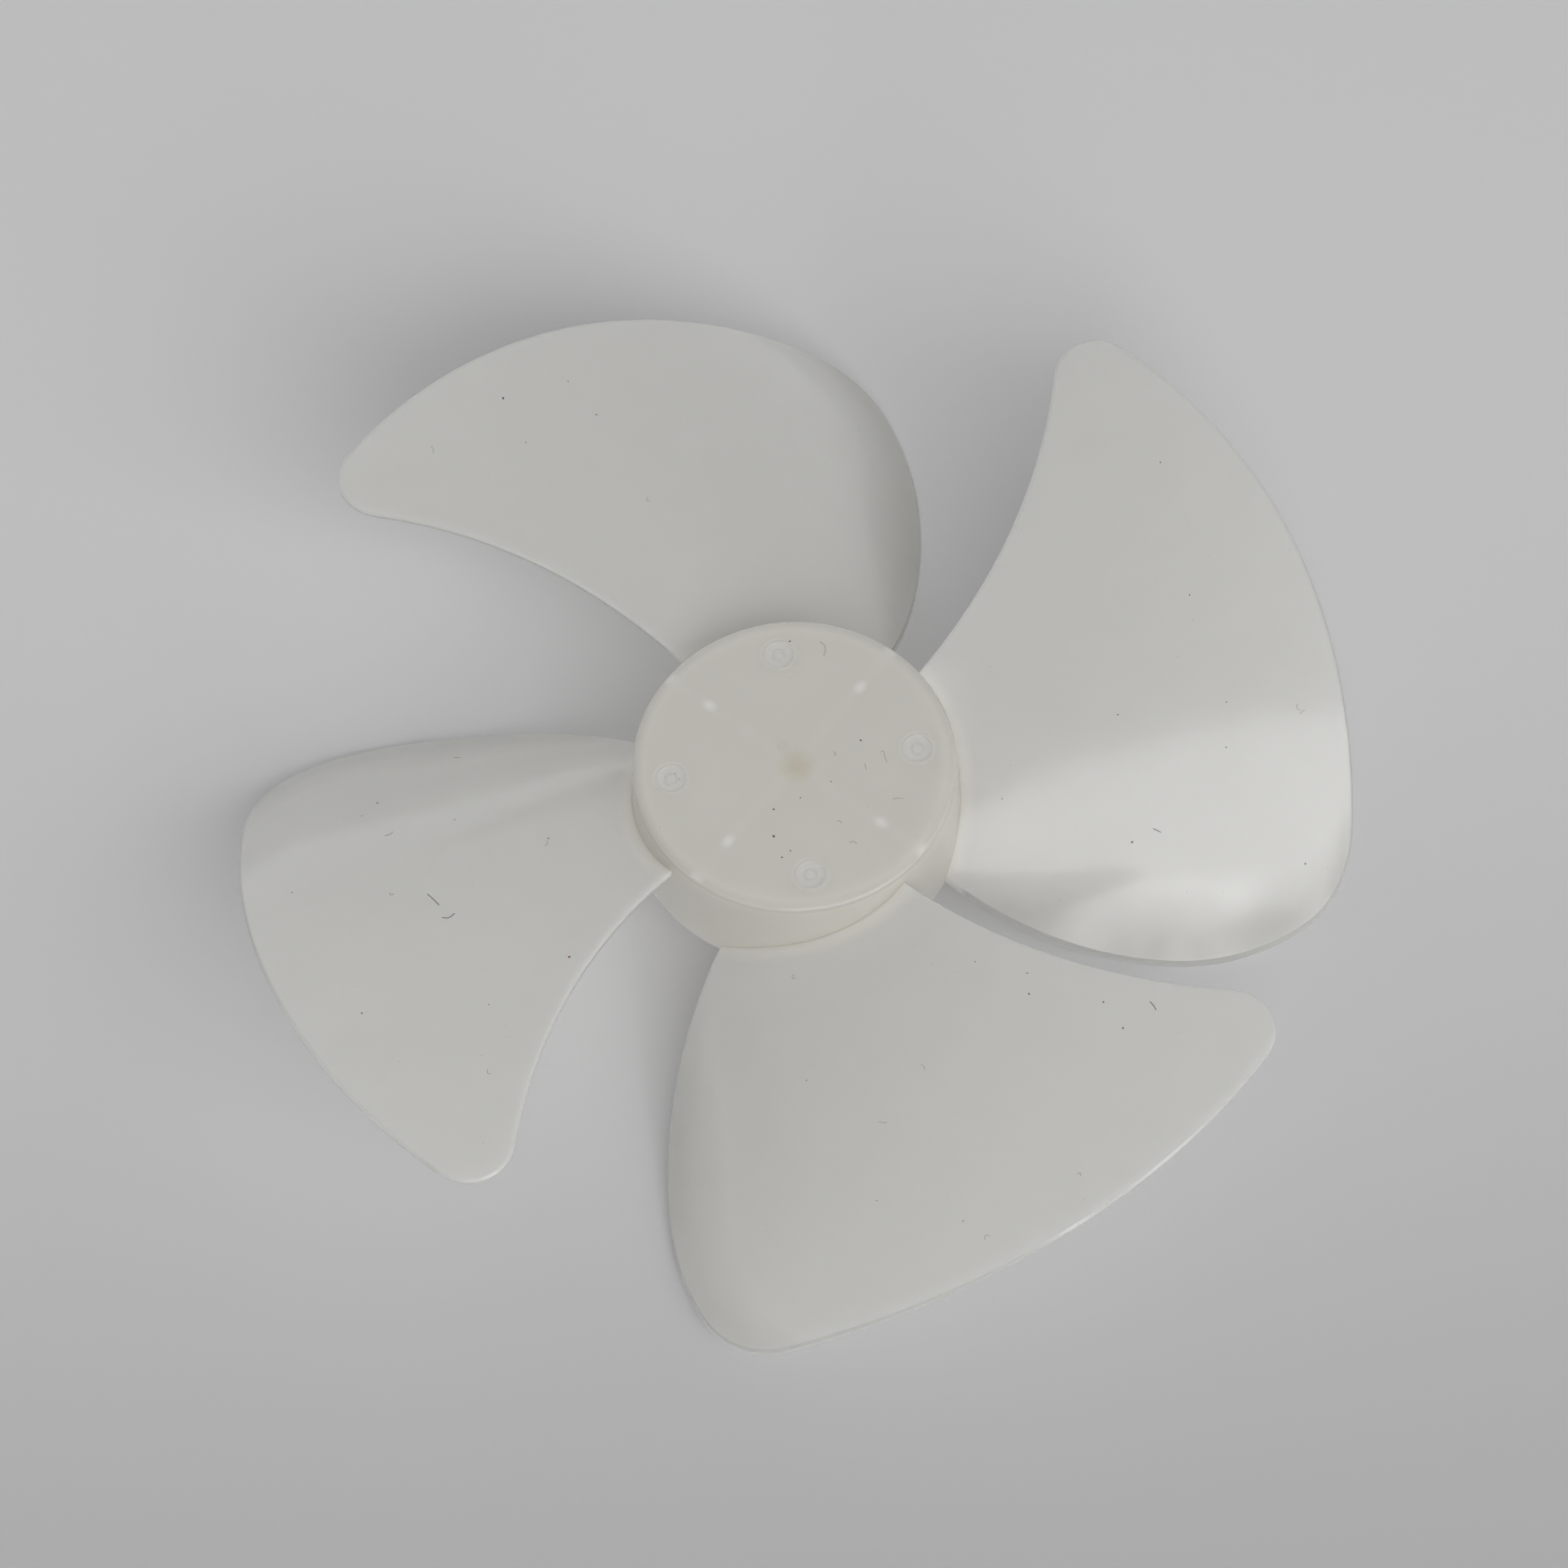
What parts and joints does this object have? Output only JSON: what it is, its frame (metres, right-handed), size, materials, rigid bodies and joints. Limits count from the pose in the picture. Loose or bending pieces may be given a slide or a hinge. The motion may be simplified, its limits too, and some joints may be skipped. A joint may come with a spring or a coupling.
{
  "type": "axial fan impeller",
  "caption": "Axial fan impeller moulded in one piece: a closed cup-shaped hub with broad, swept, cambered blades, and a blind bore inside that presses onto a small motor's shaft.",
  "frame": {"origin": "centre of the hub's open end, where the motor shaft enters the bore", "axes": "+Z along the shaft axis, from the hub's open end to its closed face; +X through the middle of a blade's root"},
  "size_m": [0.15, 0.15, 0.0339],
  "materials": {
    "natural_polypropylene": "natural milky translucent moulded plastic with a soft satin gloss"
  },
  "bodies": {
    "root": {"impeller": "natural_polypropylene"}
  },
  "joints": []
}
